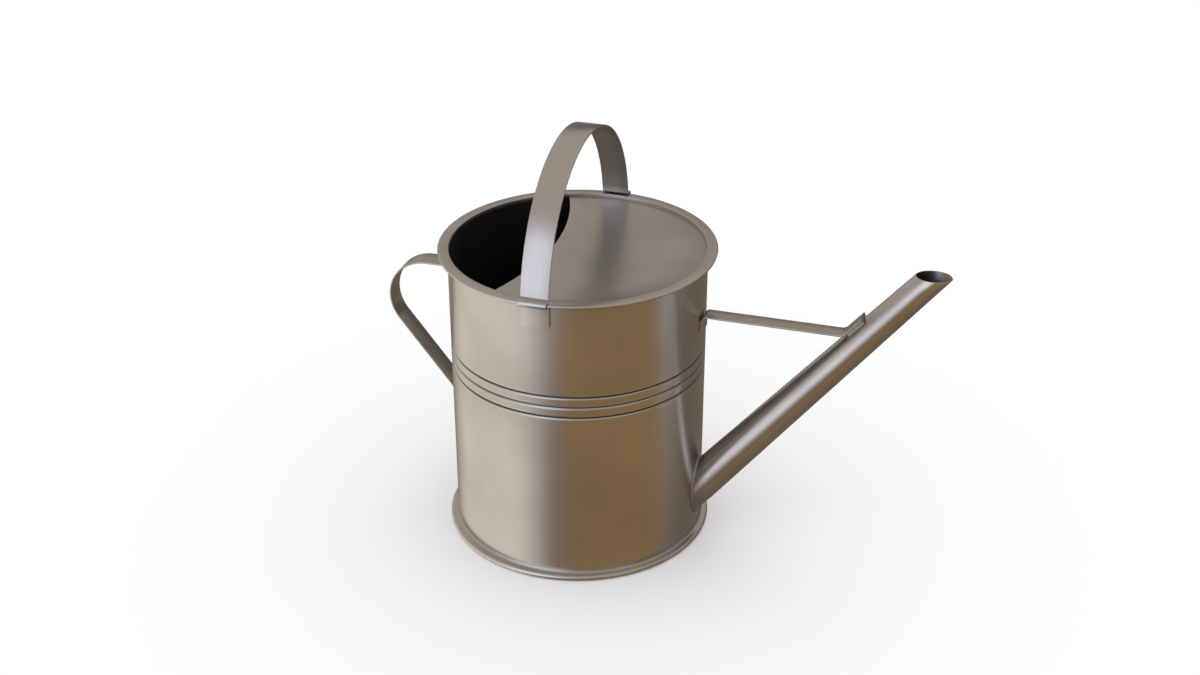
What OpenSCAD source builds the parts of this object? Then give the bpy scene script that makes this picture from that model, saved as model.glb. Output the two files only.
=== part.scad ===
// Five-litre sheet-steel watering can: round body, half cover, hoop handle, rear handle,
// long tapered spout with a brace.
// The origin is on the body's axis in the plane that the can stands on.
// +Z is up and +X points towards the spout.

/* [Body] */
// Outside radius of the body wall
body_r = 90; // [75:1:110]
// Height of the rim's top above the ground
can_h = 216; // [180:1:260]
// Thickness of the body, cover, base and spout sheet
sheet_t = 0.6; // [0.5:0.05:0.8]
// How far the rim seam stands out from the wall
rim_w = 6.7; // [5:0.1:9]
// How far the base seam stands out from the wall
base_w = 5.4; // [4.5:0.1:7]
// Height of the rolled base seam
base_h = 4; // [3.2:0.1:5]
// Height of the base plate's underside above the ground
base_lift = 4; // [3:0.1:8]

/* [Swaged grooves] */
// Number of grooves round the body
groove_count = 3; // [1:1:5]
// Depth of the middle groove below the rim's top
groove_drop = 79.2; // [60:0.1:90]
// Distance from one groove to the next
groove_pitch = 7.7; // [5:0.1:9]
// Width of a groove at the wall's outside
groove_w = 2.2; // [1.6:0.1:3]
// Depth of a groove
groove_d = 0.9; // [0.5:0.05:1]

/* [Side seam] */
// Direction of the seam round the body, from the spout
seam_azimuth = 158; // [30:1:165]
// Width of the folded seam
seam_w = 6; // [4:0.5:8]
// How far the folded seam stands out from the wall
seam_t = 0.9; // [0.6:0.05:1.2]

/* [Cover] */
// Depth of the cover below the rim's top
cover_drop = 2.5; // [1.5:0.1:5]
// Radius of the cover's hollow front edge
mouth_r = 220; // [150:1:300]
// How far behind the body's axis the middle of that edge lies
mouth_back = 17; // [5:1:30]
// Width of the hem folded under that edge
hem_w = 5; // [3:0.5:8]

/* [Spout] */
// Outside diameter of the spout where its axis meets the wall
spout_root_d = 27; // [22:0.5:33]
// Outside diameter of the spout at the middle of its tip
spout_tip_d = 18.4; // [14:0.2:22]
// Height where the spout's axis meets the wall
spout_root_z = 37; // [34:1:46]
// Level distance from the wall to the middle of the tip
spout_run = 153; // [120:1:180]
// Height of the tip above the rim's top
spout_rise = 9; // [0:0.5:20]
// How far the spout reaches through the wall into the can
spout_poke = 2; // [1:0.5:4]
// Width of the spout's lap seam
spout_seam_w = 4; // [3:0.5:5]

/* [Hoop handle] */
// Width of the hoop's strap
hoop_w = 19.5; // [15:0.5:25]
// Height of the hoop's middle line above the rim's top
hoop_rise = 81.6; // [65:0.1:98]
// How far outside the wall the hoop's middle line crosses the rim's top
hoop_out = 1.8; // [1:0.1:3]
// Length of the tabs that lie against the wall
hoop_tab = 15; // [10:0.5:25]

/* [Rear handle] */
// Width of the rear handle's strap
rear_w = 16.2; // [12:0.1:22]
// Depth of the handle's top below the rim's top
rear_drop = 26.2; // [24:0.1:35]
// How far the handle stands out from the wall
rear_reach = 50.5; // [40:0.5:65]
// Outside radius of the bend at the back
rear_bend = 29.5; // [20:0.5:35]
// Height where the slanting leg meets the wall
rear_foot_z = 88.2; // [70:0.1:100]
// Length of the tabs that lie against the wall
rear_tab = 15; // [10:0.5:18]

/* [Brace] */
// Width of the brace
brace_w = 12.8; // [8:0.1:14]
// Depth of the brace's top below the rim's top
brace_drop = 40; // [30:0.5:60]
// Length of the tab that lies against the wall
brace_wall_tab = 8.5; // [6:0.5:12]
// Length of the tab that lies along the spout
brace_spout_tab = 18; // [12:0.5:25]

/* [Straps and solder] */
// Thickness of the handles' and brace's strap
strap_t = 1.2; // [1:0.1:1.5]
// Inside radius of a tight bend in a strap
strap_bend = 1; // [0.8:0.1:1.6]
// Inside radius of a wide bend in a strap
wide_bend = 4.4; // [3:0.1:6]
// Thickness of the solder under a tab, at its thinnest
film = 0.5; // [0.4:0.05:0.8]
// How far the solder stops short of a tab's edges
film_inset = 0.5; // [0.3:0.1:1]
// Width of the solder collar round the spout's root
collar_w = 1.8; // [1:0.1:3]
// Thickness of that collar
collar_t = 1; // [0.5:0.1:1.5]
// Gap between the spout and its hole in the wall
hole_gap = 0.3; // [0.1:0.05:0.5]
// Leg of the sealing fillet inside the base
seal_leg = 2; // [1:0.1:3]

/* [Hidden] */
$fn = 96;

wall_in = body_r - sheet_t;            // inside of the wall, outside of the skirts
skirt_in = wall_in - sheet_t;          // inside of the cover's and the base's skirts
leaf_gap = 0.15;                       // between a seam's folded edge and the wall
fold_r = 1.5 * sheet_t;                // three layers of sheet, rounded
fold_x = body_r + rim_w - fold_r;      // centre of the rim's fold
fold_z = can_h - fold_r;
curl_r = base_h / 2;                   // the base seam's rolled edge
curl_x = body_r + base_w - curl_r;
seam_clear = 1;                        // the side seam stops this far from the rim and the base
seam_notch = 0.5;                      // and this far from a groove

groove_z = can_h - groove_drop;
groove_heights = [for (i = [0 : groove_count - 1]) groove_z + (i - (groove_count - 1) / 2) * groove_pitch];
// A groove is an arc through its depth and its half width
groove_half = groove_w / 2;
groove_arc = (groove_d * groove_d + groove_half * groove_half) / (2 * groove_d);
groove_x = body_r + groove_arc - groove_d;

spout_tip_z = can_h + spout_rise;
spout_slope = atan2(spout_tip_z - spout_root_z, spout_run);
spout_len = norm([spout_run, spout_tip_z - spout_root_z]);
spout_half = atan2((spout_root_d - spout_tip_d) / 2, spout_len);
spout_back = 45;                       // the cone starts this far inside the wall, before it is trimmed
spout_past = 25;                       // and ends this far past the tip
lap_t = 0.6;                           // how far the spout's lap seam stands out
lap_sink = 0.3;                        // how deep the seam's strip sits in the tube

strap_mid = strap_t / 2;
strap_step = 4;                        // a bend is drawn in steps of about this many degrees
fine = 256;                            // sides of a circle that bounds a thin film
bend_mid = strap_bend + strap_mid;     // middle line of a tight bend
wide_mid = wide_bend + strap_mid;
tab_x = body_r + film + strap_mid;     // middle line of a tab on the wall

// Hoop: a circle through its crown and through the rim's top on both sides
hoop_span = body_r + hoop_out;
hoop_r = (hoop_span * hoop_span + hoop_rise * hoop_rise) / (2 * hoop_rise);
hoop_z = can_h + hoop_rise - hoop_r;
hoop_run_z = can_h + film + strap_mid; // middle line of the strap on top of the rim
hoop_bend_z = hoop_run_z + bend_mid;
hoop_foot = asin((hoop_bend_z - hoop_z) / (hoop_r + bend_mid));
hoop_bend_x = (hoop_r + bend_mid) * cos(hoop_foot);
wrap_mid = fold_r + film + strap_mid;  // middle line of the strap round the rim's edge
hoop_under_z = fold_z - wrap_mid;

// Rear handle: level run, one bend, and a leg that leaves the bend as a tangent
rear_z = can_h - rear_drop - strap_mid;
rear_mid = rear_bend - strap_mid;
rear_cx = -(body_r + rear_reach - rear_bend);
rear_cz = can_h - rear_drop - rear_bend;
rear_dx = -tab_x - rear_cx;
rear_dz = rear_foot_z - rear_cz;
rear_dist = norm([rear_dx, rear_dz]);
// Direction of the leg, measured down from level
rear_slope = -atan2(rear_dz, rear_dx) - asin(rear_mid / rear_dist);
rear_turn = 90 - rear_slope;           // turn from the leg into the tab
rear_cut = wide_mid * tan(rear_turn / 2);

// Brace: level run, a tab down the wall and a tab along the spout's upper side
brace_z = can_h - brace_drop - strap_mid;
brace_slope = spout_slope - spout_half;
brace_cut = wide_mid * tan(brace_slope / 2);
brace_root = 2 * strap_bend + strap_mid; // middle line of the bend at the wall
// The spout tab's middle line runs this far from the point where the spout's axis meets the wall
brace_off = spout_root_d / 2 * cos(spout_half) + film + strap_mid;
// and meets the level run's middle line here
brace_knee = body_r + (brace_z - spout_root_z) / tan(brace_slope) - brace_off / sin(brace_slope);

function spout_r(s, more = 0) = (spout_root_d + (spout_tip_d - spout_root_d) * s / spout_len) / 2 + more;

// Puts something that runs along +Z on the spout's axis, starting where the axis meets the wall
module on_spout() {
    translate([body_r, 0, spout_root_z]) rotate([0, 90 - spout_slope, 0]) children();
}
// The spout's cone, grown or shrunk by more
module spout_cone(more = 0) {
    on_spout() translate([0, 0, -spout_back])
        cylinder(h = spout_back + spout_len + spout_past, $fn = fine,
                 r1 = spout_r(-spout_back, more), r2 = spout_r(spout_len + spout_past, more));
}
// A cylinder on the body's axis that passes the can's top and bottom
module can_cylinder(r) {
    translate([0, 0, -can_h]) cylinder(h = 3 * can_h, r = r, $fn = fine);
}
// A rectangle from corner to corner
module slab(x0, x1, z0, z1) {
    translate([x0, z0]) square([x1 - x0, z1 - z0]);
}
// A strap's outline follows its middle line. The line is a list of stretches, each one a bend:
// [centre, radius of the middle line, first angle, last angle]. Straight runs join them by
// themselves, and an end is a bend of no radius.
function strap_end(point, heading) = [point, 0, heading - 90, heading - 90];
// The points along one side of the strap: its right side for side = 1, its left for side = -1
function strap_side(stretches, side) = [
    for (b = stretches)
        let (turn = b[3] < b[2] ? -1 : 1, steps = max(1, ceil(abs(b[3] - b[2]) / strap_step)))
        for (i = [0 : b[1] > 0 ? steps : 0])
            let (a = b[2] + (b[3] - b[2]) * i / steps)
            b[0] + (b[1] + side * turn * strap_mid) * [cos(a), sin(a)]
];
function backwards(list) = [for (i = [len(list) - 1 : -1 : 0]) list[i]];
// A strap of width w whose middle line lies in the plane of X and Z
module strap(w, stretches) {
    rotate([90, 0, 0]) translate([0, 0, -w / 2]) linear_extrude(w)
        polygon(concat(strap_side(stretches, 1), backwards(strap_side(stretches, -1))));
}
// Solder between a wall tab and the wall: a block cut back to the wall
module wall_film(w, z0, z1) {
    difference() {
        translate([body_r - 3, -w / 2 + film_inset, z0 + film_inset])
            cube([film + 3, w - 2 * film_inset, z1 - z0 - 2 * film_inset]);
        can_cylinder(body_r);
    }
}
// The hollow of each groove, and the swell that it makes inside the wall
module groove_cut() {
    for (z = groove_heights) translate([groove_x, z]) circle(r = groove_arc);
}
module groove_back() {
    for (z = groove_heights) intersection() {
        translate([groove_x, z]) circle(r = groove_arc + sheet_t);
        slab(wall_in - groove_d, wall_in + 0.1, z - groove_pitch / 2, z + groove_pitch / 2);
    }
}

// The rolled body sheet, flanged outwards at both ends, with its grooves and its side seam
module body_wall() {
    seam_angle = seam_w / body_r * 180 / PI;
    color([0.68, 0.63, 0.56]) difference() {
        union() {
            rotate_extrude() difference() {
                union() {
                    slab(wall_in, body_r, sheet_t, can_h - sheet_t);
                    slab(wall_in, curl_x, sheet_t, 2 * sheet_t);
                    slab(wall_in, fold_x, can_h - 2 * sheet_t, can_h - sheet_t);
                    groove_back();
                }
                groove_cut();
            }
            rotate([0, 0, seam_azimuth - seam_angle / 2]) rotate_extrude(angle = seam_angle)
                difference() {
                    slab(body_r - sheet_t / 2, body_r + seam_t,
                         base_h + seam_clear, can_h - 3 * sheet_t - seam_clear);
                    for (z = groove_heights)
                        slab(wall_in, body_r + 2 * seam_t, z - groove_half - seam_notch,
                             z + groove_half + seam_notch);
                }
        }
        spout_cone(hole_gap);
    }
}

// The base: a raised plate, a skirt inside the wall and an edge rolled over the wall's flange
module base_pan() {
    color([0.60, 0.56, 0.50]) rotate_extrude() {
        slab(0, wall_in, base_lift, base_lift + sheet_t);
        slab(skirt_in, wall_in, 0, base_lift + sheet_t);
        slab(skirt_in, curl_x, 0, sheet_t);
        slab(body_r + leaf_gap, curl_x, base_h - sheet_t, base_h);
        translate([curl_x, curl_r]) intersection() {
            difference() {
                circle(r = curl_r);
                circle(r = curl_r - sheet_t);
            }
            slab(0, curl_r, -curl_r, curl_r);
        }
    }
}

// The cover: a plate set into the wall, its mouth, and a rim folded over the wall's flange
module top_cover() {
    cover_z = can_h - cover_drop;
    color([0.58, 0.54, 0.48]) {
        rotate_extrude() {
            slab(skirt_in, wall_in, cover_z - sheet_t, can_h);
            slab(skirt_in, fold_x, can_h - sheet_t, can_h);
            slab(body_r + leaf_gap, fold_x, can_h - 3 * sheet_t, can_h - 2 * sheet_t);
            translate([fold_x, fold_z]) intersection() {
                difference() {
                    circle(r = fold_r);
                    circle(r = sheet_t / 2);
                }
                slab(0, fold_r, -fold_r, fold_r);
            }
        }
        difference() {
            translate([0, 0, cover_z - sheet_t]) cylinder(h = sheet_t, r = wall_in - sheet_t / 2);
            translate([-mouth_back - mouth_r, 0, cover_z - 2]) cylinder(h = 4, r = mouth_r);
        }
        intersection() {
            translate([-mouth_back - mouth_r, 0, cover_z - 2 * sheet_t]) difference() {
                cylinder(h = sheet_t + 0.1, r = mouth_r + hem_w);
                translate([0, 0, -1]) cylinder(h = sheet_t + 2, r = mouth_r);
            }
            can_cylinder(skirt_in - 1);
        }
    }
}

// The spout: a tapered tube rolled from sheet, lapped underneath, through the wall at its root
module spout_tube() {
    color([0.50, 0.45, 0.39]) difference() {
        union() {
            spout_cone();
            difference() {
                on_spout() translate([spout_root_d / 2, 0, 0]) rotate([0, -spout_half, 0])
                    translate([-lap_sink, -spout_seam_w / 2, -spout_back])
                        cube([lap_sink + lap_t, spout_seam_w, spout_back + spout_len + spout_past]);
                can_cylinder(body_r + collar_t + seam_clear);
            }
        }
        spout_cone(-sheet_t / cos(spout_half));
        can_cylinder(wall_in - spout_poke);
        translate([body_r, -body_r, spout_tip_z])
            cube([spout_run + body_r, 2 * body_r, spout_past * 2]);
    }
}

// The brace: one strip, bent down the wall at one end and up along the spout at the other
module spout_brace() {
    rise = [cos(brace_slope), sin(brace_slope)];
    knee = [brace_knee, brace_z];
    color([0.55, 0.51, 0.46]) strap(brace_w, [
        strap_end([tab_x, brace_z - brace_root - brace_wall_tab], 90),
        [[tab_x + brace_root, brace_z - brace_root], brace_root, 180, 90],
        [knee + [-brace_cut, wide_mid], wide_mid, 270, 270 + brace_slope],
        strap_end(knee + brace_spout_tab * rise, brace_slope)
    ]);
}

// The hoop handle: one strap over the can, wrapped round the rim at both ends.
// Its middle line runs from one tab to the crown, and back down its mirror image.
module hoop_handle() {
    up = [
        strap_end([tab_x, hoop_under_z - bend_mid - hoop_tab], 90),
        [[tab_x + bend_mid, hoop_under_z - bend_mid], bend_mid, 180, 90],
        [[fold_x, fold_z], wrap_mid, -90, 90],
        [[hoop_bend_x, hoop_bend_z], bend_mid, 270, 180 + hoop_foot],
        [[0, hoop_z], hoop_r, hoop_foot, 90]
    ];
    down = [for (b = backwards(up)) [[-b[0][0], b[0][1]], b[1], 180 - b[3], 180 - b[2]]];
    color([0.72, 0.71, 0.70]) rotate([0, 0, 90]) strap(hoop_w, concat(up, down));
}

// The rear handle: a level run, a bend and a slanting leg, with a tab at both ends
module rear_handle() {
    top_x = -tab_x - bend_mid;
    color([0.52, 0.50, 0.45]) strap(rear_w, [
        strap_end([-tab_x, rear_z + bend_mid + rear_tab], 270),
        [[top_x, rear_z + bend_mid], bend_mid, 360, 270],
        [[rear_cx, rear_cz], rear_mid, 90, 270 - rear_slope],
        [[-tab_x - wide_mid, rear_foot_z - rear_cut], wide_mid, rear_turn, 0],
        strap_end([-tab_x, rear_foot_z - rear_cut - rear_tab], 270)
    ]);
}

// The fillet that seals the base to the wall inside the can
module base_seal() {
    floor_z = base_lift + sheet_t;
    color([0.63, 0.64, 0.64]) rotate_extrude()
        polygon([[wall_in, floor_z], [wall_in, floor_z + seal_leg], [wall_in - seal_leg, floor_z]]);
}

// The solder that fills the spout's hole and stands round its root
module spout_solder() {
    color([0.63, 0.64, 0.64]) difference() {
        intersection() {
            spout_cone(hole_gap + collar_w);
            can_cylinder(body_r + collar_t);
        }
        difference() {
            can_cylinder(body_r);
            spout_cone(hole_gap);
        }
        can_cylinder(wall_in);
        spout_cone();
    }
}

// The solder under the hoop's tabs
module hoop_solder() {
    top = hoop_under_z - bend_mid;
    color([0.63, 0.64, 0.64]) for (side = [90, 270])
        rotate([0, 0, side]) wall_film(hoop_w, top - hoop_tab, top);
}

// The solder under the rear handle's tabs
module rear_solder() {
    low = rear_foot_z - rear_cut;
    color([0.63, 0.64, 0.64]) rotate([0, 0, 180]) {
        wall_film(rear_w, rear_z + bend_mid, rear_z + bend_mid + rear_tab);
        wall_film(rear_w, low - rear_tab, low);
    }
}

// The solder under the brace's two tabs
module brace_solder() {
    root_z = brace_z - brace_root;
    start = brace_cut + film_inset;
    color([0.63, 0.64, 0.64]) {
        wall_film(brace_w, root_z - brace_wall_tab, root_z);
        difference() {
            translate([brace_knee, 0, brace_z]) rotate([0, -brace_slope, 0])
                translate([start, -brace_w / 2 + film_inset, -strap_mid - 2])
                    cube([brace_spout_tab - start - film_inset, brace_w - 2 * film_inset, 2]);
            spout_cone();
        }
    }
}

body_wall();
base_pan();
top_cover();
spout_tube();
spout_brace();
hoop_handle();
rear_handle();
base_seal();
spout_solder();
hoop_solder();
rear_solder();
brace_solder();
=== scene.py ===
"""The looks of a sheet-steel watering can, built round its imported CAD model."""
import math

import bmesh
import bpy
import numpy as np
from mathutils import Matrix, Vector


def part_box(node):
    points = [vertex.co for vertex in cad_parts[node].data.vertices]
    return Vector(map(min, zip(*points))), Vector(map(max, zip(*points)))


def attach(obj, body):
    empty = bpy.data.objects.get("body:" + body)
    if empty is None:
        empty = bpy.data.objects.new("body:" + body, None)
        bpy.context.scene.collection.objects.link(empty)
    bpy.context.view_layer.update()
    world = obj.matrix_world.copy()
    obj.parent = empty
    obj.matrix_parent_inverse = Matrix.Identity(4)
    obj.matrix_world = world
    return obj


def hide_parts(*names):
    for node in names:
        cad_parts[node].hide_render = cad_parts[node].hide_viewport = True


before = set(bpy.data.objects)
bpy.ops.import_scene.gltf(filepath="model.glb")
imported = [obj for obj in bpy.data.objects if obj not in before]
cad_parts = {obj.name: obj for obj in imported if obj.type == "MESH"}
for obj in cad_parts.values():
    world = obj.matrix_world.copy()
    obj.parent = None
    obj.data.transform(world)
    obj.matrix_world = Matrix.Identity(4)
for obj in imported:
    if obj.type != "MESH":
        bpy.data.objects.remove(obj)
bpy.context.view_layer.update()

# ---- Sizes in millimetres. The frame is +Z up, +X towards the spout. ----
MM = 0.001
ROUND = 288                         # faces round a turned piece

# Body
WALL_R = 90.0                       # outside of the body wall
SHEET = 0.6                         # thickness of the sheet
WALL_IN = WALL_R - SHEET
SKIRT_IN = WALL_IN - SHEET          # inner face of the skirts of the base and the rim
WALL_FOOT = 1.2                     # height where the wall begins
CAN_TOP = 1000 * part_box("top_cover")[1].z
RIM_R = 1000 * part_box("top_cover")[1].x
BASE_R = 1000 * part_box("base_pan")[1].x
BASE_H = 4.0                        # height of the rolled base seam
FOLD = 1.5 * SHEET                  # half the thickness of the rim's fold
GROOVES, GROOVE_Z, GROOVE_PITCH = 3, CAN_TOP - 79.2, 7.7
GROOVE_HALF, GROOVE_DEPTH = 1.4, 0.75

# Cover and filling mouth
COVER_Z = CAN_TOP - 2.5             # the plate's upper face
MOUTH_R, MOUTH_BACK = 220.0, 17.0   # the mouth's edge: its radius, and how far behind the axis it lies
MOUTH_X = -MOUTH_BACK - MOUTH_R     # the centre of that edge
HEM = 5.0                           # width of the hem under it

# Spout
SPOUT_ROOT_R, SPOUT_TIP_R, SPOUT_ROOT_Z = 13.5, 9.2, 37.0
SPOUT_RUN, SPOUT_TIP_Z = 153.0, CAN_TOP + 9.0
SPOUT_RISE = SPOUT_TIP_Z - SPOUT_ROOT_Z
SPOUT_LEN = math.hypot(SPOUT_RUN, SPOUT_RISE)
SPOUT_AXIS = np.array([SPOUT_RUN, 0, SPOUT_RISE]) / SPOUT_LEN
SPOUT_UP = np.array([-SPOUT_AXIS[2], 0, SPOUT_AXIS[0]])
SPOUT_SIDE = np.array([0.0, -1.0, 0.0])

# Straps and solder
STRAP, FILM = 1.2, 0.5              # thickness of a strap, and of the solder under its tabs
HOOP_W, REAR_W, BRACE_W = 19.5, 16.2, 12.8
TAB = 15.0                          # length of a handle's tab on the wall
BEND, WIDE_BEND = 1.0, 4.4          # inside radius of a tight bend and of a slow one
STRAP_MID = STRAP / 2
TIGHT, SLOW = BEND + STRAP_MID, WIDE_BEND + STRAP_MID      # the same bends at the strap's middle
TAB_X = WALL_R + FILM + STRAP_MID   # the middle of a tab on the wall
COLLAR_R, BEAD_R = 1.25, 0.8        # runs of solder round the spout's root and round a tab
UNEVEN = 0.3                        # how uneven a run is, as a share of its radius


def unit(degrees):
    """The direction at that angle in a plane"""
    a = math.radians(degrees)
    return np.array([math.cos(a), math.sin(a)])


# ---- Node trees ----
class Value:
    """A node's output. Arithmetic on it adds Math nodes."""

    def __init__(self, tree, socket):
        self.tree, self.socket = tree, socket

    def math(self, operation, *others):
        """A Math node with this value in its first input"""
        return self.tree.math(operation, self, *others)

    def __add__(self, other):
        return self.math("ADD", other)

    def __sub__(self, other):
        return self.math("SUBTRACT", other)

    def __rsub__(self, other):
        return self.tree.math("SUBTRACT", other, self)

    def __mul__(self, other):
        return self.math("MULTIPLY", other)

    def __truediv__(self, other):
        return self.math("DIVIDE", other)

    __radd__, __rmul__ = __add__, __mul__


class Tree:
    """A node tree that is filled one node at a time"""

    def __init__(self, tree):
        self.tree = tree

    def node(self, kind, settings=None, inputs=None, output=0):
        """Adds a node. Its settings are set first, then its inputs, each a constant or a Value."""
        n = self.tree.nodes.new(kind)
        for name, value in (settings or {}).items():
            setattr(n, name, value)
        for name, value in (inputs or {}).items():
            if isinstance(value, Value):
                self.tree.links.new(value.socket, n.inputs[name])
            else:
                n.inputs[name].default_value = value
        return Value(self, n.outputs[output]) if n.outputs else None

    def math(self, operation, *values):
        return self.node("ShaderNodeMath", {"operation": operation}, dict(enumerate(values)))

    def output(self, value, name):
        """Another output of the node that a value comes from"""
        return Value(self, value.socket.node.outputs[name])

    def smooth(self, value, low, high):
        """0 below low and 1 above high, or the other way round where low is above high"""
        return self.node("ShaderNodeMapRange", {"interpolation_type": "SMOOTHSTEP"},
                         {"Value": value, "From Min": low, "From Max": high})

    def ramp(self, value, low, high, start, end):
        """From start to end as value goes from low to high, and level outside that"""
        return self.node("ShaderNodeMapRange", {}, {
            "Value": value, "From Min": low, "From Max": high, "To Min": start, "To Max": end})


# ---- Meshes ----
def new_object(name, verts, faces, edges=()):
    """An object whose points are given in millimetres"""
    mesh = bpy.data.meshes.new(name)
    mesh.from_pydata([tuple(float(c) * MM for c in v) for v in verts], list(edges), faces)
    o = bpy.data.objects.new(name, mesh)
    bpy.context.scene.collection.objects.link(o)
    return o


def clean(o, sharp=32.0, gap=0.01):
    """Merges the points of a piece, turns the faces of a closed one outwards and shades it smooth,
    except at edges that turn more than sharp degrees"""
    bm = bmesh.new()
    bm.from_mesh(o.data)
    bmesh.ops.remove_doubles(bm, verts=bm.verts, dist=gap * MM)
    bmesh.ops.dissolve_degenerate(bm, edges=bm.edges, dist=gap * MM / 10)
    bmesh.ops.recalc_face_normals(bm, faces=bm.faces)
    bm.to_mesh(o.data)
    bm.free()
    o.data.polygons.foreach_set("use_smooth", [True] * len(o.data.polygons))
    o.data.set_sharp_from_angle(angle=math.radians(sharp))
    return o


def bake(o):
    """Turns an object's modifiers into its mesh"""
    made = bpy.data.meshes.new_from_object(
        o.evaluated_get(bpy.context.evaluated_depsgraph_get()))
    o.modifiers.clear()
    o.data = made
    made.name = o.name
    return o


def join(name, objects):
    """One object from several"""
    with bpy.context.temp_override(active_object=objects[0], object=objects[0],
                                   selected_editable_objects=objects, selected_objects=objects):
        bpy.ops.object.join()
    objects[0].name = name
    return objects[0]


def grid_faces(rows, columns, loop_rows=False, loop_columns=False):
    """Quads between rows of points, each row holding so many columns"""
    return [(r * columns + c, r * columns + (c + 1) % columns,
             (r + 1) % rows * columns + (c + 1) % columns, (r + 1) % rows * columns + c)
            for r in range(rows if loop_rows else rows - 1)
            for c in range(columns if loop_columns else columns - 1)]


def end_faces(rows, columns):
    """The two faces that close the ends of a tube of such rows"""
    return [tuple(range(columns)), tuple(range((rows - 1) * columns, rows * columns))[::-1]]


def arc(centre, radius, first, last, step):
    """Points on part of a circle, at most step degrees apart"""
    n = max(1, math.ceil(abs(last - first) / step))
    return [np.array(centre) + radius * unit(first + (last - first) * i / n) for i in range(n + 1)]


def lathe(name, outline):
    """Turns a closed outline of (radius, height) points about the vertical axis"""
    ring = [unit(360 * i / ROUND) for i in range(ROUND)]
    verts = [(r * c[0], r * c[1], z) for r, z in outline for c in ring]
    return clean(new_object(name, verts, grid_faces(len(outline), ROUND, True, True)))


# ---- Finishes ----
SHINE = (0.62, 0.60, 0.575)      # bare satin sheet
DULL = (0.50, 0.475, 0.44)       # the same sheet where it has dulled
# Near-black, for painted shade in hollows, joints and insides, and for grime
SHADE_AND_DIRT_COLOUR = (0.03, 0.027, 0.024)
FINE = 420.0                     # rolling lines a metre, across the way they run


def finish_of(name, bright, dull, roughness, grain, fleck=0.0):
    """A satin metal. Grain is how finely its rolling lines run along X, Y and Z, in lines a metre,
    and fleck is how speckled and lumpy it is. The attribute "worn" is 1 where the piece is rubbed
    bright, and the one for painted shade and grime is 1 where shade is painted in, near-black, in hollows,
    corners, joints and insides, and where grime collects."""
    material = bpy.data.materials.new(name)
    material.use_nodes = True
    material.node_tree.nodes.clear()
    t = Tree(material.node_tree)
    place = t.node("ShaderNodeTexCoord", output="Object")

    def noise(scale, detail=2.0, stretch=(1, 1, 1)):
        spot = t.node("ShaderNodeMapping", {}, {"Vector": place, "Scale": stretch})
        return t.node("ShaderNodeTexNoise", {}, {"Vector": spot, "Scale": scale, "Detail": detail})

    def mixed(amount, one, other):
        return t.node("ShaderNodeMix", {"data_type": "RGBA"},
                      {"Factor": amount, 6: one, 7: other}, output=2)

    lines = noise(1.0, 2.0, grain)
    sway = noise(9.0, 0.0)
    clouds = noise(14.0, 2.0)
    scratches = t.smooth(noise(1.0, 1.0, tuple(0.3 * g + 1 for g in grain)), 0.62, 0.78)
    worn = t.node("ShaderNodeAttribute", {"attribute_name": "worn"}, output=2)
    # Painted shade and grime: this attribute turns the colour near-black where shade falls in hollows,
    # joints and insides, and where grime collects
    shade_and_dirt = t.node("ShaderNodeAttribute", {"attribute_name": "shade_and_dirt"}, output=2)
    shade_and_dirt_amount = shade_and_dirt * (0.8 + 0.3 * clouds)
    rubbed, dark = [min(1, 1.18 * c) for c in bright], [0.6 * c for c in dull]
    colour = mixed(t.smooth(clouds, 0.35, 0.75) * 0.7 + lines * 0.25, (*bright, 1), (*dull, 1))
    colour = mixed(worn * 0.6, colour, (*rubbed, 1))
    colour = mixed(shade_and_dirt_amount * 0.97, colour, (*SHADE_AND_DIRT_COLOUR, 1))
    lumps = 0.0
    if fleck:
        lumps = noise(260.0, 1.0) * fleck
        grains = t.node("ShaderNodeTexVoronoi", {}, {"Vector": place, "Scale": 420.0})
        colour = mixed(t.smooth(grains, 0.35, 0.1) * fleck, colour, (*dark, 1))
    rough = (roughness + 0.05 * t.smooth(clouds, 0.3, 0.8) + 0.04 * lines
             + 0.25 * shade_and_dirt_amount + scratches * 0.03 - worn * 0.04)
    fine = t.node("ShaderNodeBump", {}, {"Height": lines, "Strength": 0.012, "Distance": 0.0004})
    soft = t.node("ShaderNodeBump", {}, {"Height": sway + lumps, "Strength": 0.10,
                                         "Distance": 0.002, "Normal": fine})
    shader = t.node("ShaderNodeBsdfPrincipled", {}, {
        "Base Color": colour, "Metallic": 1.0, "Roughness": rough, "Normal": soft})
    t.node("ShaderNodeOutputMaterial", {}, {"Surface": shader})
    return material


BODY_STEEL = finish_of("satin_sheet_steel", SHINE, DULL, 0.20, (FINE, FINE, 5.0))
COVER_STEEL = finish_of("satin_cover_steel", SHINE, DULL, 0.27, (FINE, 6.0, FINE))
SPOUT_STEEL = finish_of("rolled_spout_steel", SHINE, DULL, 0.20, (40.0, FINE, 40.0))
HOOP_STEEL = finish_of("bright_strip_steel", (0.63, 0.615, 0.60), DULL, 0.22, (FINE, 12.0, 12.0))
STRIP_STEEL = finish_of("dull_strip_steel", (0.52, 0.50, 0.45), (0.43, 0.41, 0.36), 0.24,
                        (12.0, FINE, 12.0))
SOLDER = finish_of("tin_solder", (0.60, 0.60, 0.60), (0.42, 0.42, 0.42), 0.38, (300.0,) * 3,
                   fleck=0.5)


def paint(o, name, amount):
    """Gives each point of a piece an amount from 0 to 1, worked out from the points in millimetres"""
    co = np.empty(len(o.data.vertices) * 3)
    o.data.vertices.foreach_get("co", co)
    values = np.clip(amount(co.reshape(-1, 3) / MM), 0, 1).astype(np.float32)
    layer = o.data.attributes.get(name) or o.data.attributes.new(name, "FLOAT", "POINT")
    layer.data.foreach_set("value", values)


def from_axis(p):
    """How far each point is from the can's axis"""
    return np.hypot(p[:, 0], p[:, 1])


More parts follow.
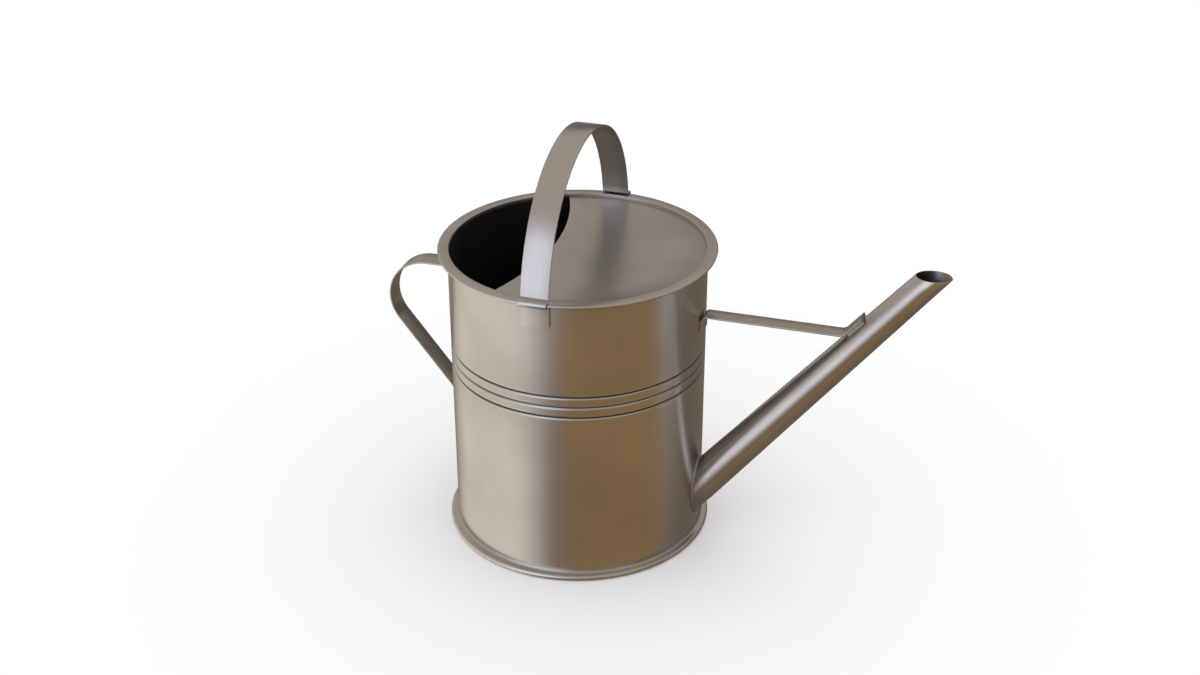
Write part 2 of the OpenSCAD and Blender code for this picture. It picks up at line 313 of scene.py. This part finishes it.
def near(distance, reach):
    """1 at no distance, falling to 0 at reach"""
    return np.clip(1 - np.abs(distance) / reach, 0, 1)


def settle(o, material, slot, *nodes):
    """Gives a finished piece its material and its body, and hides the CAD nodes that it stands for. The slot
    is not used.
    """
    o.data.materials.clear()
    o.data.materials.append(material)
    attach(o, "root")
    if nodes:
        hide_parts(*nodes)


# ---- Body wall: a rolled sheet with swaged grooves ----
def geometry_tree(name, sockets):
    """A modifier's node tree with named inputs. Returns its group, the tree to fill and its inputs
    by name."""
    group = bpy.data.node_groups.new(name, "GeometryNodeTree")
    kinds = {float: "NodeSocketFloat", int: "NodeSocketInt", Vector: "NodeSocketVector",
             bpy.types.Material: "NodeSocketMaterial"}
    group.interface.new_socket("Geometry", in_out="INPUT", socket_type="NodeSocketGeometry")
    group.interface.new_socket("Geometry", in_out="OUTPUT", socket_type="NodeSocketGeometry")
    for label, kind in sockets.items():
        group.interface.new_socket(label, in_out="INPUT", socket_type=kinds[kind])
    t = Tree(group)
    source = group.nodes.new("NodeGroupInput")
    inputs = {s.name: Value(t, s) for s in source.outputs if s.name}
    return group, t, inputs


def end_tree(t, geometry, material):
    """The last nodes: real geometry, its material and the output"""
    real = t.node("GeometryNodeRealizeInstances", {}, {"Geometry": geometry})
    done = t.node("GeometryNodeSetMaterial", {}, {"Geometry": real, "Material": material})
    t.tree.links.new(done.socket, t.tree.nodes.new("NodeGroupOutput").inputs[0])


def run_tree(o, group, values):
    """Runs a node tree on an object with these inputs, and keeps the result as a plain mesh"""
    modifier = o.modifiers.new(group.name, "NODES")
    modifier.node_group = group
    for item in group.interface.items_tree:
        if item.in_out == "INPUT" and item.name in values:
            modifier[item.identifier] = values[item.name]
    return bake(o)


def wall_tree():
    """A turned wall: a grid of columns and rows is bent round the axis, with its rows close together
    where the grooves are, and each groove is pressed into it"""
    number = {n: float for n in ("Radius", "Foot", "Top", "Groove Height", "Groove Pitch",
                                 "Groove Half Width", "Groove Depth")}
    group, t, i = geometry_tree("swaged_wall", {**number, "Grooves": int, "Columns": int,
                                                "Rows": int, "Material": bpy.types.Material})
    grid = t.node("GeometryNodeMeshGrid", {}, {
        "Size X": 1.0, "Size Y": 1.0, "Vertices X": i["Columns"], "Vertices Y": i["Rows"]})
    place = t.node("ShaderNodeSeparateXYZ", {}, {0: t.node("GeometryNodeInputPosition")})
    across, up = place + 0.5, t.output(place, "Y") + 0.5
    zone = i["Groove Pitch"] * i["Grooves"] * 0.5
    low, high = i["Groove Height"] - zone, i["Groove Height"] + zone
    first, last = 0.14, 0.88      # the grooves lie between these shares of the rows
    z = (t.ramp(up, 0.0, first, i["Foot"], low) + t.ramp(up, first, last, 0.0, high - low)
         + t.ramp(up, last, 1.0, 0.0, i["Top"] - high))
    # Distance from the nearest groove's middle. Each groove lies in the middle of one pitch.
    beat = (z - low) / i["Groove Pitch"]
    off = (beat - beat.math("FLOOR") - 0.5).math("ABSOLUTE")
    inside = z.math("COMPARE", i["Groove Height"], zone)
    press = t.smooth(off * i["Groove Pitch"], i["Groove Half Width"], 0.0) * inside
    radius = i["Radius"] - i["Groove Depth"] * press
    turn = across * (2 * math.pi)
    bent = t.node("ShaderNodeCombineXYZ", {}, {
        "X": radius * turn.math("COSINE"), "Y": radius * turn.math("SINE"), "Z": z})
    wall = t.node("GeometryNodeSetPosition", {}, {"Geometry": grid, "Position": bent})
    closed = t.node("GeometryNodeMergeByDistance", {}, {"Geometry": wall, "Distance": 0.01 * MM})
    end_tree(t, closed, i["Material"])
    return group


def spout_point(s, angle, more=0.0):
    """A point on the spout, s along its axis from the wall and turned from its upper side"""
    a = math.radians(angle)
    r = SPOUT_ROOT_R + (SPOUT_TIP_R - SPOUT_ROOT_R) * s / SPOUT_LEN + more
    return np.array([WALL_R, 0, SPOUT_ROOT_Z]) + s * SPOUT_AXIS + r * (
        math.cos(a) * SPOUT_UP + math.sin(a) * SPOUT_SIDE)


def meet(angle, test):
    """How far along the spout a line on its surface has test go from negative to positive"""
    low, high = -45.0, SPOUT_LEN + 25.0
    for _ in range(50):
        middle = (low + high) / 2
        low, high = (middle, high) if test(spout_point(middle, angle)) < 0 else (low, middle)
    return low


def make_body():
    wall = new_object("body_wall_sheet", [], [])
    run_tree(wall, wall_tree(), {
        "Radius": WALL_R * MM, "Foot": WALL_FOOT * MM, "Top": (CAN_TOP - 2 * SHEET) * MM,
        "Groove Height": GROOVE_Z * MM, "Groove Pitch": GROOVE_PITCH * MM,
        "Groove Half Width": GROOVE_HALF * MM, "Groove Depth": GROOVE_DEPTH * MM,
        "Grooves": GROOVES, "Columns": ROUND + 1, "Rows": 96, "Material": BODY_STEEL})
    clean(wall)
    # The open sheet faces away from the axis before it gets its thickness
    if sum(f.normal.dot(f.center) for f in wall.data.polygons[:50]) < 0:
        wall.data.flip_normals()
    skin = wall.modifiers.new("sheet", "SOLIDIFY")
    skin.thickness, skin.offset, skin.use_even_offset = SHEET * MM, -1, True
    hole = spout_cutter(first=-60.0, past=20.0, more=0.3)
    cut = wall.modifiers.new("spout_hole", "BOOLEAN")
    cut.object, cut.operation, cut.solver = hole, "DIFFERENCE", "EXACT"
    bake(wall)
    bpy.data.objects.remove(hole)
    clean(wall)
    body = join("body_wall_sheet", [wall, make_side_seam()])
    # Painted shade: the inner face of the wall near-black, a faint dark band just above the base seam and a
    # darker band under the rim
    paint(body, "shade_and_dirt", lambda p: np.maximum.reduce([
        1.0 * (from_axis(p) < WALL_IN + 0.05) * (p[:, 2] > BASE_H),
        0.12 * near(p[:, 2] - BASE_H, 2.5), 0.40 * near(p[:, 2] - (CAN_TOP - 2.4), 3.0)]))
    paint(body, "worn", lambda p: np.maximum.reduce([
        0.7 * near(np.abs(p[:, 2] - GROOVE_Z - k * GROOVE_PITCH) - GROOVE_HALF - 0.3, 0.8)
        * (from_axis(p) > WALL_R - 0.3) for k in (-1, 0, 1)]))
    settle(body, BODY_STEEL, "body_sheet", "body_wall")


def make_side_seam():
    """The lock seam down the wall: two hooked edges pressed flat, so one side has a step"""
    azimuth, half, proud = 158.0, 3.0, 0.9      # where it is, half its width and how far it stands out
    low, high = (GROOVE_Z + side * GROOVES / 2 * GROOVE_PITCH for side in (-1, 1))
    section = [(-half - 0.3, -0.3), (-half, 0.15), (-half + 0.25, 0.6), (-half + 0.7, proud - 0.05),
               (-half + 1.4, proud), (half - 1.6, proud), (half - 0.8, 0.72), (half - 0.3, 0.4),
               (half, 0.1), (half + 0.3, -0.3)]
    heights = [BASE_H + 1.4, *np.linspace(BASE_H + 2, low, 8), *np.linspace(low + 0.3, high - 0.3, 72),
               *np.linspace(high, CAN_TOP - 4.0, 8), CAN_TOP - 3.4]

    def pressed(z):
        """How deep the seam follows the grooves at that height"""
        beat = (z - GROOVE_Z) / GROOVE_PITCH
        off = abs(beat - round(beat)) * GROOVE_PITCH if abs(beat) < GROOVES / 2 else GROOVE_PITCH
        f = min(1, max(0, 1 - off / (GROOVE_HALF + 0.4)))
        return GROOVE_DEPTH * f * f * (3 - 2 * f)

    rows = []
    for n, z in enumerate(heights):
        end = n in (0, len(heights) - 1)
        for place, out in section:
            turn = math.radians(azimuth) + place / WALL_R
            r = WALL_R - pressed(z) + (min(out, -0.1) if end else out)
            rows.append((r * math.cos(turn), r * math.sin(turn), z))
    columns = len(section)
    faces = grid_faces(len(heights), columns, False, True)
    faces += end_faces(len(heights), columns)
    return clean(new_object("side_seam", rows, faces))


# ---- Spout: a tapered tube, cut level at its tip ----
def spout_cutter(first, past, more):
    """A plain closed cone on the spout's axis, wider than the spout by more all round, for cutting"""
    sides = 96
    ends = [[spout_point(s, 360 * k / sides, more) for k in range(sides)] for s in (first, SPOUT_LEN + past)]
    return clean(new_object("hole_cutter", ends[0] + ends[1],
                            grid_faces(2, sides, False, True) + end_faces(2, sides)))


def lapped(angle):
    """How far the sheet stands out at that angle: the lap's free edge is a step on one side of the
    spout's underside, and it slopes away on the other"""
    half, height, step, slope, mean_r = 2.0, 0.55, 0.5, 2.4, 11
    aside = math.radians(angle - 180) * mean_r
    if abs(aside) > half:
        return 0.0
    return height * min(1.0, (half + aside) / step, (half - aside) / slope)


def make_spout():
    """Rings from the root inside the can to the level tip, whose edge is rounded, and back inside"""
    sides, lap_turn, edge = 128, 11, SHEET / 2
    root = WALL_IN - 2.0
    angles = sorted({*np.linspace(0, 360, sides, endpoint=False),
                     *np.linspace(180 - lap_turn, 180 + lap_turn, 23)})
    ends = {a: (meet(a, lambda p: math.hypot(p[0], p[1]) - root), meet(a, lambda p: p[2] - SPOUT_TIP_Z))
            for a in angles}
    shares = [k / 24 for k in range(25)]

    def along(a, share):
        """The place at that share of the way from the root to the tip's rounded edge"""
        start, stop = ends[a]
        return start + (stop - edge - start) * share

    # The lap begins at the third ring, where the spout has left the wall
    rings = [[spout_point(along(a, f), a, lapped(a) if f > 0.06 else 0.0) for a in angles] for f in shares]
    # The tip's rounded edge, from its outer side over to its inner side
    for turn in (35, 70, 110, 145):
        up, out = edge * math.sin(math.radians(turn)), edge * (math.cos(math.radians(turn)) - 1)
        rings.append([spout_point(ends[a][1] - edge + up, a, out + (lapped(a) if turn < 90 else 0.0))
                      for a in angles])
    rings += [[spout_point(along(a, f), a, -SHEET) for a in angles] for f in shares[::-1]]
    spout = clean(new_object("spout_tube_sheet", [p for ring in rings for p in ring],
                             grid_faces(len(rings), len(angles), True, True)), sharp=40.0)

    def inside(p):
        """The points on the tube's inner side"""
        offset = p - np.array([WALL_R, 0, SPOUT_ROOT_Z])
        s = offset @ SPOUT_AXIS
        away = np.linalg.norm(offset - s[:, None] * SPOUT_AXIS, axis=1)
        return away < SPOUT_ROOT_R + (SPOUT_TIP_R - SPOUT_ROOT_R) * s / SPOUT_LEN - 0.4

    # Painted shade: darker where the spout meets the wall, and on the tube's inner side
    paint(spout, "shade_and_dirt", lambda p: np.maximum(
        0.9 * near(from_axis(p) - WALL_R - 0.5, 5.0), 0.6 * inside(p)))
    paint(spout, "worn", lambda p: 0.9 * near(p[:, 2] - SPOUT_TIP_Z, 1.2))
    settle(spout, SPOUT_STEEL, "spout_sheet", "spout_tube")


# ---- Base and cover: turned sheet with rolled seams ----
def make_base():
    """A raised plate, a skirt, a rolled foot and the fold over the wall's flange"""
    inner, outer, slope, deep = SKIRT_IN - 26, SKIRT_IN - 19.5, 1.5, 0.6     # the plate's pressed ring
    bend, toe, cove = 1.2, 0.9, 2.6     # radii at the plate's edge, at the skirt's foot and on the wall
    foot = BASE_H / 2
    outline = [(0, BASE_H), (inner, BASE_H), (inner + slope, BASE_H - deep),
               (outer - slope, BASE_H - deep), (outer, BASE_H),
               *arc((SKIRT_IN - bend, BASE_H - bend), bend, 90, 0, 15),
               (SKIRT_IN, toe), *arc((SKIRT_IN + toe, toe), toe, 180, 270, 18)[1:],
               *arc((BASE_R - foot, foot), foot, -90, 70, 10),
               *arc((WALL_R + cove, BASE_H + 2.2), cove, 245, 180, 9),
               (WALL_R - 0.2, BASE_H + 2.4), (WALL_R - 0.2, BASE_H - 2.2),
               (WALL_IN, BASE_H - 1), (WALL_IN - 0.1, BASE_H + SHEET), (0, BASE_H + SHEET)]
    base = lathe("base_pan_sheet", outline)
    # Painted shade: a faint dark line where the seam meets the wall, and the upper face inside the can
    # near-black
    paint(base, "shade_and_dirt", lambda p: np.maximum(
        0.2 * near(from_axis(p) - WALL_R - 0.3, 0.9) * (p[:, 2] > 2),
        1.0 * (p[:, 2] > BASE_H + 0.2) * (from_axis(p) < WALL_IN - 0.05)))
    paint(base, "worn", lambda p: 0.8 * near(from_axis(p) - BASE_R, 2.4))
    settle(base, COVER_STEEL, "body_sheet", "base_pan")


def make_rim():
    """A fold over the wall's flange, with a skirt inside the wall"""
    x, z = RIM_R - FOLD, CAN_TOP - FOLD - 0.25
    bend = 0.7
    outline = [(SKIRT_IN, COVER_Z - SHEET), *arc((SKIRT_IN + bend, CAN_TOP - 0.75), bend, 180, 95, 14),
               (WALL_R + 1.5, CAN_TOP - 0.02), (WALL_R + 4, CAN_TOP - 0.12),
               *[(x + FOLD * math.cos(a), z + FOLD * math.sin(a)) for a in np.linspace(1.35, -1.45, 13)],
               (WALL_R + 2, CAN_TOP - 2.0), (WALL_R + 0.3, CAN_TOP - 1.85),
               (WALL_R - 0.1, CAN_TOP - 1.4), (WALL_IN, CAN_TOP - 1.6), (WALL_IN, COVER_Z - SHEET)]
    return lathe("rim", outline)


def make_plate():
    """The plate before the mouth: hemmed at the mouth's edge and turned up inside the rim. It runs
    along lines that spread from one to the other, and stops a hair short of the corners where the
    two meet, as it would have no width there."""
    plate_r, top, under = SKIRT_IN + 0.1, COVER_Z, COVER_Z - SHEET
    hem_deep, roll, bend = SHEET + 0.65, 0.62, 1.2
    full = 14           # a section is drawn together where it is shorter than this
    corner_x = (MOUTH_R ** 2 - MOUTH_X ** 2 - plate_r ** 2) / (-2 * MOUTH_X)
    wall_turn = math.degrees(math.acos(corner_x / plate_r))
    mouth_turn = math.degrees(math.asin(math.sqrt(plate_r ** 2 - corner_x ** 2) / MOUTH_R))
    lines, loops = 160, []
    for k in range(lines + 1):
        share = 0.996 * math.sin(math.pi / 2 * (2 * k / lines - 1))
        start = np.array([MOUTH_X, 0.0]) + MOUTH_R * unit(mouth_turn * share)
        way = plate_r * unit(wall_turn * share) - start
        length = np.linalg.norm(way)
        squeeze = min(1.0, length / full)
        stop = length + 0.3 * squeeze
        section = [(HEM * squeeze, under), (HEM * squeeze, top - hem_deep)]
        section += [(squeeze * a, h) for a, h in arc((roll, top - roll), roll, 270, 90, 20)]
        section += [(length * f, top) for f in (0.3, 0.55, 0.78)]
        section += [(length + squeeze * a, h) for a, h in arc((-bend, top + bend), bend, -90, 0, 18)]
        section += [(stop, top + bend), (stop, under)]
        section += [(length * f, under) for f in (0.78, 0.55)]
        loops.append([(*(start + way / length * min(a, length + 0.3)), h) for a, h in section])
    n = len(loops[0])
    return clean(new_object("plate", [p for loop in loops for p in loop],
                            grid_faces(len(loops), n, False, True) + end_faces(len(loops), n)),
                 sharp=50.0, gap=0.001)


def make_cover():
    cover = join("cover_and_rim", [make_rim(), make_plate()])
    # Painted shade: a dark ring in the corner where the plate meets the rim, and the plate's underside and
    # the rim's inside near-black
    paint(cover, "shade_and_dirt", lambda p: np.maximum(
        0.35 * near(from_axis(p) - SKIRT_IN, 2.0) * (np.abs(p[:, 2] - COVER_Z - 0.4) < 0.9),
        1.0 * (p[:, 2] < COVER_Z - 0.4)))
    paint(cover, "worn", lambda p: np.maximum(
        0.9 * near(from_axis(p) - RIM_R, 1.3),
        0.9 * near(np.hypot(p[:, 0] - MOUTH_X, p[:, 1]) - MOUTH_R, 1.2) * (np.abs(p[:, 2] - COVER_Z) < 1.5)))
    settle(cover, COVER_STEEL, "body_sheet", "top_cover")


# ---- Straps: strips swept along their middle lines ----
def strap_tree():
    """Sweeps a strip with rounded edges along a line of edges. Its width lies along Across."""
    group, t, i = geometry_tree("swept_strap", {"Width": float, "Thickness": float, "Edge": float,
                                                "Across": Vector, "Material": bpy.types.Material})
    line = t.node("GeometryNodeMeshToCurve", {}, {"Mesh": i["Geometry"]})
    held = t.node("GeometryNodeSetCurveNormal", {"mode": "FREE"},
                  {"Curve": line, "Normal": i["Across"]})
    box = t.node("GeometryNodeCurvePrimitiveQuadrilateral", {},
                 {"Width": i["Width"], "Height": i["Thickness"]})
    rounded = t.node("GeometryNodeFilletCurve", {"mode": "POLY"},
                     {"Curve": box, "Count": 3, "Radius": i["Edge"]})
    strip = t.node("GeometryNodeCurveToMesh", {},
                   {"Curve": held, "Profile Curve": rounded, "Fill Caps": True})
    end_tree(t, strip, i["Material"])
    return group


def bend(centre, radius, first, last):
    """The points of a strap's bend, closer together in degrees on a large one"""
    return arc(centre, radius, first, last, 3.0 if radius > 20 else 9.0)


def filled(points, spacing=6):
    """A line with more points on its long straight runs, so that a texture and a sweep stay even"""
    line = [np.array(points[0])]
    for p in points[1:]:
        pieces = max(1, int(np.linalg.norm(p - line[-1]) / spacing))
        line += [line[-1] + (p - line[-1]) * k / pieces for k in range(1, pieces + 1)]
    return line


def make_strap(name, tree, points, width, across, material, node_name, painted_shade=lambda p: 0):
    """One strap. Its line is given in millimetres; the last argument says how much painted shade darkens
    each of its points.
    """
    line = new_object(name, points, [], [(k, k + 1) for k in range(len(points) - 1)])
    run_tree(line, tree, {"Width": width * MM, "Thickness": STRAP * MM, "Edge": 0.32 * MM,
                          "Across": across, "Material": material})
    clean(line, sharp=40.0)
    side = 0 if across[0] else 1
    paint(line, "worn", lambda p: 0.9 * near(width / 2 - np.abs(p[:, side]), 0.7))
    # Painted shade: darker where a tab lies on the wall, as in the gap under it, plus the painted shade
    # passed in
    paint(line, "shade_and_dirt", lambda p: np.maximum(
        0.5 * near(from_axis(p) - WALL_R, 1.4) * (p[:, 2] < CAN_TOP - 3), painted_shade(p)))
    settle(line, material, "strap_steel", node_name)


def make_hoop(tree):
    """From one tab, round the rim's edge and over it, up to the crown and down the other side"""
    rise, span = 81.6, WALL_R + 1.8
    hoop_r = (span ** 2 + rise ** 2) / (2 * rise)
    hoop_z = CAN_TOP + rise - hoop_r
    foot_z = CAN_TOP + FILM + STRAP_MID + TIGHT
    foot = math.degrees(math.asin((foot_z - hoop_z) / (hoop_r + TIGHT)))
    foot_x = (hoop_r + TIGHT) * math.cos(math.radians(foot))
    wrap = FOLD + FILM + STRAP_MID
    under = CAN_TOP - FOLD - wrap
    half = filled([(TAB_X, under - TIGHT - TAB),
                   *bend((TAB_X + TIGHT, under - TIGHT), TIGHT, 180, 90),
                   *bend((RIM_R - FOLD, CAN_TOP - FOLD), wrap, -90, 90),
                   *bend((foot_x, foot_z), TIGHT, 270, 180 + foot),
                   *bend((0, hoop_z), hoop_r, foot, 90)])
    line = [(0, -x, z) for x, z in half] + [(0, x, z) for x, z in half[-2::-1]]
    # Painted shade on the inner face of the arch, above the feet
    make_strap("hoop_handle_strap", tree, line, HOOP_W, (1, 0, 0), HOOP_STEEL, "hoop_handle",
               lambda p: 0.45 * (np.hypot(p[:, 1], p[:, 2] - hoop_z) < hoop_r) * (p[:, 2] > foot_z))


def make_rear_handle(tree):
    """Level, round one bend and down a slanting leg. Returns the heights where its two tabs begin."""
    reach, radius, top, leg_z = 50.5, 29.5, CAN_TOP - 26.2, 88.2
    middle, level = radius - STRAP_MID, top - STRAP_MID
    x, z = -(WALL_R + reach - radius), top - radius
    dx, dz = -TAB_X - x, leg_z - z
    slope = -math.degrees(math.atan2(dz, dx)) - math.degrees(math.asin(middle / math.hypot(dx, dz)))
    turn = 90 - slope
    cut = SLOW * math.tan(math.radians(turn / 2))
    line = filled([(-TAB_X, level + TIGHT + TAB),
                   *bend((-TAB_X - TIGHT, level + TIGHT), TIGHT, 360, 270),
                   *bend((x, z), middle, 90, 270 - slope),
                   *bend((-TAB_X - SLOW, leg_z - cut), SLOW, turn, 0),
                   (-TAB_X, leg_z - cut - TAB)])
    make_strap("rear_handle_strap", tree, [(x, 0, z) for x, z in line], REAR_W, (0, 1, 0),
               STRIP_STEEL, "rear_handle")
    return level + TIGHT, leg_z - cut


def make_brace(tree):
    """A tab on the wall, a level run and a tab up along the spout"""
    drop, wall_tab, spout_tab = 40, 8.5, 18
    level, root = CAN_TOP - drop - STRAP_MID, 2 * BEND + STRAP_MID
    taper = math.atan2(SPOUT_ROOT_R - SPOUT_TIP_R, SPOUT_LEN)
    lean = math.atan2(SPOUT_RISE, SPOUT_RUN) - taper
    lean_turn = math.degrees(lean)
    knee = (WALL_R + (level - SPOUT_ROOT_Z) / math.tan(lean)
            - (SPOUT_ROOT_R * math.cos(taper) + FILM + STRAP_MID) / math.sin(lean))
    line = filled([(TAB_X, level - root - wall_tab),
                   *bend((TAB_X + root, level - root), root, 180, 90),
                   *bend((knee - SLOW * math.tan(lean / 2), level + SLOW), SLOW, 270, 270 + lean_turn),
                   np.array([knee, level]) + spout_tab * unit(lean_turn)])

    def under_tab(p):
        """The underside of the tab that lies along the spout, darkened by painted shade"""
        above = np.stack([p[:, 0] - knee, p[:, 2] - level]).T @ unit(lean_turn + 90)
        return 0.9 * (p[:, 0] > knee + 2) * (above < 0)

    make_strap("spout_brace_strap", tree, [(x, 0, z) for x, z in line], BRACE_W, (0, 1, 0),
               STRIP_STEEL, "spout_brace", under_tab)


# ---- Solder ----
def bead_tree():
    """A run of solder along a line of edges, a little uneven"""
    group, t, i = geometry_tree("solder_bead", {"Radius": float, "Unevenness": float, "Seed": float,
                                                "Material": bpy.types.Material})
    line = t.node("GeometryNodeMeshToCurve", {}, {"Mesh": i["Geometry"]})
    ring = t.node("GeometryNodeCurvePrimitiveCircle", {}, {"Resolution": 14, "Radius": i["Radius"]})
    tube = t.node("GeometryNodeCurveToMesh", {}, {"Curve": line, "Profile Curve": ring, "Fill Caps": True})
    lumps = t.node("ShaderNodeTexNoise", {"noise_dimensions": "4D"}, {
        "Vector": t.node("GeometryNodeInputPosition"), "W": i["Seed"], "Scale": 230.0, "Detail": 1.0})
    push = t.node("ShaderNodeVectorMath", {"operation": "SCALE"}, {
        0: t.node("GeometryNodeInputNormal"), "Scale": (lumps - 0.5) * 2.0 * i["Unevenness"]})
    uneven = t.node("GeometryNodeSetPosition", {}, {"Geometry": tube, "Offset": push})
    end_tree(t, uneven, i["Material"])
    return group


def make_bead(name, tree, points, radius, seed, closed=False):
    """One run of solder. Its line is given in millimetres."""
    n = len(points)
    line = new_object(name, points, [], [(k, (k + 1) % n) for k in range(n if closed else n - 1)])
    run_tree(line, tree, {"Radius": radius * MM, "Unevenness": UNEVEN * radius * MM, "Seed": seed,
                          "Material": SOLDER})
    return clean(line)


def tab_line(low, high, open_top):
    """A line on the wall round three edges of a rear tab: down one side, along an end and up the
    other. It stands off the wall far enough for a run of solder on it to stay out of the can."""
    half, out, spacing = REAR_W / 2 + 0.25, 0.55, 0.7
    side = [(-half, high), (-half, low), (half, low), (half, high)]
    if not open_top:
        side = [(y, low + high - z) for y, z in side]
    points = []
    for (y0, z0), (y1, z1) in zip(side, side[1:]):
        steps = max(2, int(math.hypot(y1 - y0, z1 - z0) / spacing))
        points += [(y0 + (y1 - y0) * k / steps, z0 + (z1 - z0) * k / steps) for k in range(steps)]
    points.append(side[-1])
    turns = [math.pi + math.asin(y / WALL_R) for y, _ in points]
    return [((WALL_R + out) * math.cos(a), (WALL_R + out) * math.sin(a), z)
            for a, (_, z) in zip(turns, points)]


def make_solder(rear_top, rear_leg):
    tree = bead_tree()
    # Round the spout's root, in the corner between the spout and the wall
    turns, root = 200, []
    for k in range(turns):
        angle = 360 * k / turns
        foot = spout_point(meet(angle, lambda p: math.hypot(p[0], p[1]) - WALL_R), angle)
        root.append(foot + 0.1 * np.array([foot[0], foot[1], 0]) / np.hypot(foot[0], foot[1]))
    collar = make_bead("spout_root_solder", tree, root, COLLAR_R, 3.0, closed=True)
    paint(collar, "shade_and_dirt", lambda p: np.full(len(p), 0.3))
    settle(collar, SOLDER, "solder", "spout_solder")
    # Round the rear handle's two tabs. Each run has a seed of its own.
    tabs = ((rear_top, rear_top + TAB, False, 5.0), (rear_leg - TAB, rear_leg, True, 9.0))
    beads = join("rear_tab_solder_beads", [
        make_bead("bead", tree, tab_line(low, high, open_top), BEAD_R, seed)
        for low, high, open_top, seed in tabs])
    paint(beads, "shade_and_dirt", lambda p: np.full(len(p), 0.2))
    settle(beads, SOLDER, "solder")


make_body()
make_spout()
make_base()
make_cover()
straps = strap_tree()
make_hoop(straps)
tab_heights = make_rear_handle(straps)
make_brace(straps)
make_solder(*tab_heights)
for node_name in ("base_seal", "hoop_solder", "rear_solder", "brace_solder"):
    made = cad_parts[node_name]
    made.data.materials.clear()
    made.data.materials.append(SOLDER)


# ---- Floor, light and camera ----
def make_stage():
    reach, drop = 9000, 0.3
    corners = [(x * reach, y * reach, -drop) for x, y in ((-1, -1), (1, -1), (1, 1), (-1, 1))]
    floor = new_object("floor", corners, [(0, 1, 2, 3)])
    material = bpy.data.materials.new("pale_floor")
    material.use_nodes = True
    shader = material.node_tree.nodes["Principled BSDF"]
    shader.inputs["Base Color"].default_value = (0.93, 0.93, 0.93, 1)
    shader.inputs["Roughness"].default_value = 0.9
    floor.data.materials.append(material)
    floor.visible_glossy = False


TABLE, ROOM = (0.19, 0.15, 0.12), (0.45, 0.39, 0.34)      # what the metal mirrors low and high
DAYLIGHT = 1.12                                           # strength of the plain white light
# Boards and windows, by where they stand as seen from the can, in degrees: azimuth from the spout's
# side turning left, elevation, width, height, how soft their edges are, and their colour. Each one
# covers what is behind it.
BOARDS = {
    "white board on the left": (197, -30, 110, 70, 50, (0.92, 0.86, 0.77)),
    "wooden board in front": (318, -38, 110, 50, 40, (0.33, 0.21, 0.10)),
    "cool window at the front left": (250, 12, 42, 60, 30, (1.05, 1.10, 1.28)),
    "cool sheen under that window": (254, -56, 50, 30, 10, (0.12, 0.15, 0.20)),
    "grey screen on the right": (14, -19, 26, 18, 8, (0.50, 0.49, 0.51)),
    "dark flag beside the spout": (45, 6, 140, 24, 14, (0.10, 0.095, 0.09)),
}


def make_light():
    """A dim room with boards hung in it, which the metal mirrors, and plain white light for the floor"""
    world = bpy.data.worlds.new("studio")
    bpy.context.scene.world = world
    world.use_nodes = True
    world.node_tree.nodes.clear()
    t = Tree(world.node_tree)
    way = t.node("ShaderNodeSeparateXYZ", {}, {0: t.node("ShaderNodeTexCoord")})
    y, z = t.output(way, "Y"), t.output(way, "Z")
    azimuth = y.math("ARCTAN2", way) * (180 / math.pi)
    elevation = z.math("ARCSINE") * (180 / math.pi)
    view = t.node("ShaderNodeMix", {"data_type": "RGBA"}, {
        "Factor": t.smooth(elevation, -20.0, 15.0), 6: (*TABLE, 1), 7: (*ROOM, 1)}, output=2)
    for turn, lift, width, height, soft, colour in BOARDS.values():
        aside = (azimuth - turn).math("WRAP", 180.0, -180.0).math("ABSOLUTE")
        across = t.smooth(aside, (width + soft) / 2, (width - soft) / 2)
        above = (elevation - lift).math("ABSOLUTE")
        upright = t.smooth(above, (height + soft) / 2, (height - soft) / 2)
        view = t.node("ShaderNodeMix", {"data_type": "RGBA"},
                      {"Factor": across * upright, 6: view, 7: (*colour, 1)}, output=2)
    glossy = t.node("ShaderNodeLightPath", output="Is Glossy Ray")
    mirrored = t.node("ShaderNodeBackground", {}, {"Color": view, "Strength": 1.0})
    plain = t.node("ShaderNodeBackground", {}, {"Color": (1, 1, 1, 1), "Strength": DAYLIGHT})
    both = t.node("ShaderNodeMixShader", {}, {0: glossy, 1: plain, 2: mirrored})
    t.node("ShaderNodeOutputWorld", {}, {"Surface": both})


def make_camera():
    azimuth, elevation, distance = math.radians(17), math.radians(27.9), 1.183
    target = Vector((0.0146, 0.0045, 0.1427))
    back = Vector((math.sin(azimuth) * math.cos(elevation), -math.cos(azimuth) * math.cos(elevation),
                   math.sin(elevation)))
    camera = bpy.data.objects.new("camera", bpy.data.cameras.new("camera"))
    camera.data.lens, camera.data.sensor_width = 50, 36
    camera.location = target + back * distance
    camera.rotation_mode = "QUATERNION"
    camera.rotation_quaternion = (-back).to_track_quat("-Z", "Y")
    bpy.context.scene.collection.objects.link(camera)
    bpy.context.scene.camera = camera


make_stage()
make_light()
make_camera()
bpy.context.scene.view_settings.view_transform = "Standard"
